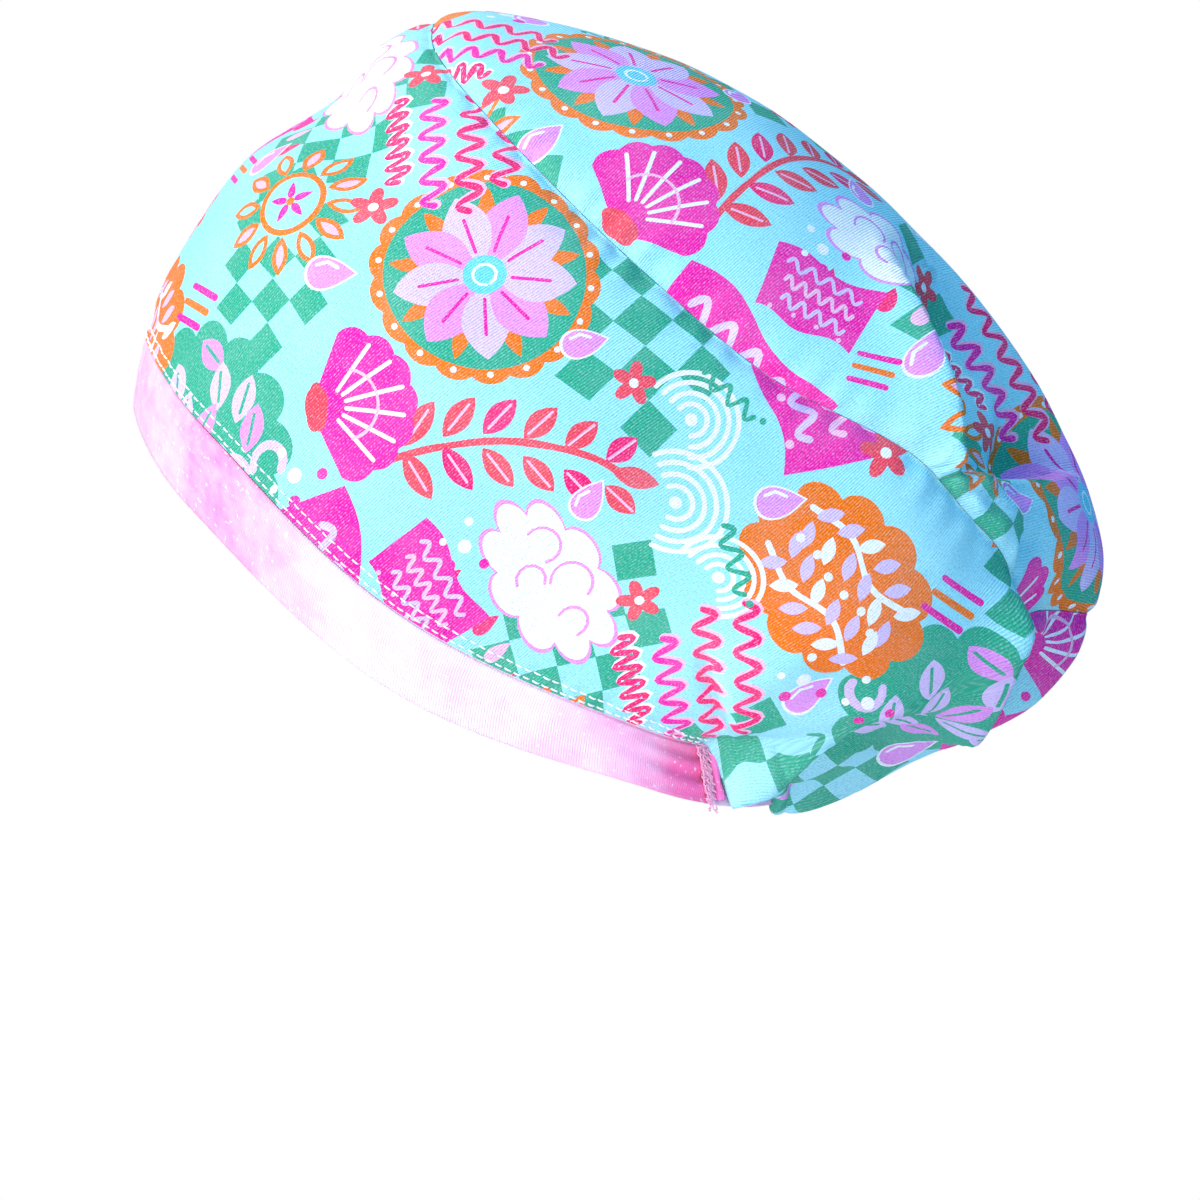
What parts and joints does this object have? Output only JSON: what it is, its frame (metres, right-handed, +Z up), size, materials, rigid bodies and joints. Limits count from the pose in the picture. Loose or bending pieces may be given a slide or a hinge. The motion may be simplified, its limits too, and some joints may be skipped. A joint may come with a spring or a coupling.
{
  "type": "bouffant scrub cap",
  "caption": "Printed cloth scrub cap with a domed crown, full side panel, pink contrast band and gathered back casing, held as worn on a head",
  "frame": {"origin": "centre of the head opening, midway between the forehead edge and the nape edge", "axes": "+X from the forehead to the back of the cap, +Y toward the wearer's right, +Z up on an upright head"},
  "size_m": [0.2804, 0.1916, 0.2306],
  "materials": {
    "crown_print": "matte",
    "side_print": "matte",
    "band_cloth": "matte",
    "casing_cloth": "matte",
    "tack_thread": "matte"
  },
  "bodies": {
    "root": {"crown": "crown_print", "side_panel": "side_print", "front_band": "band_cloth", "back_casing": "casing_cloth", "tack_left": "tack_thread", "tack_right": "tack_thread"}
  },
  "joints": []
}
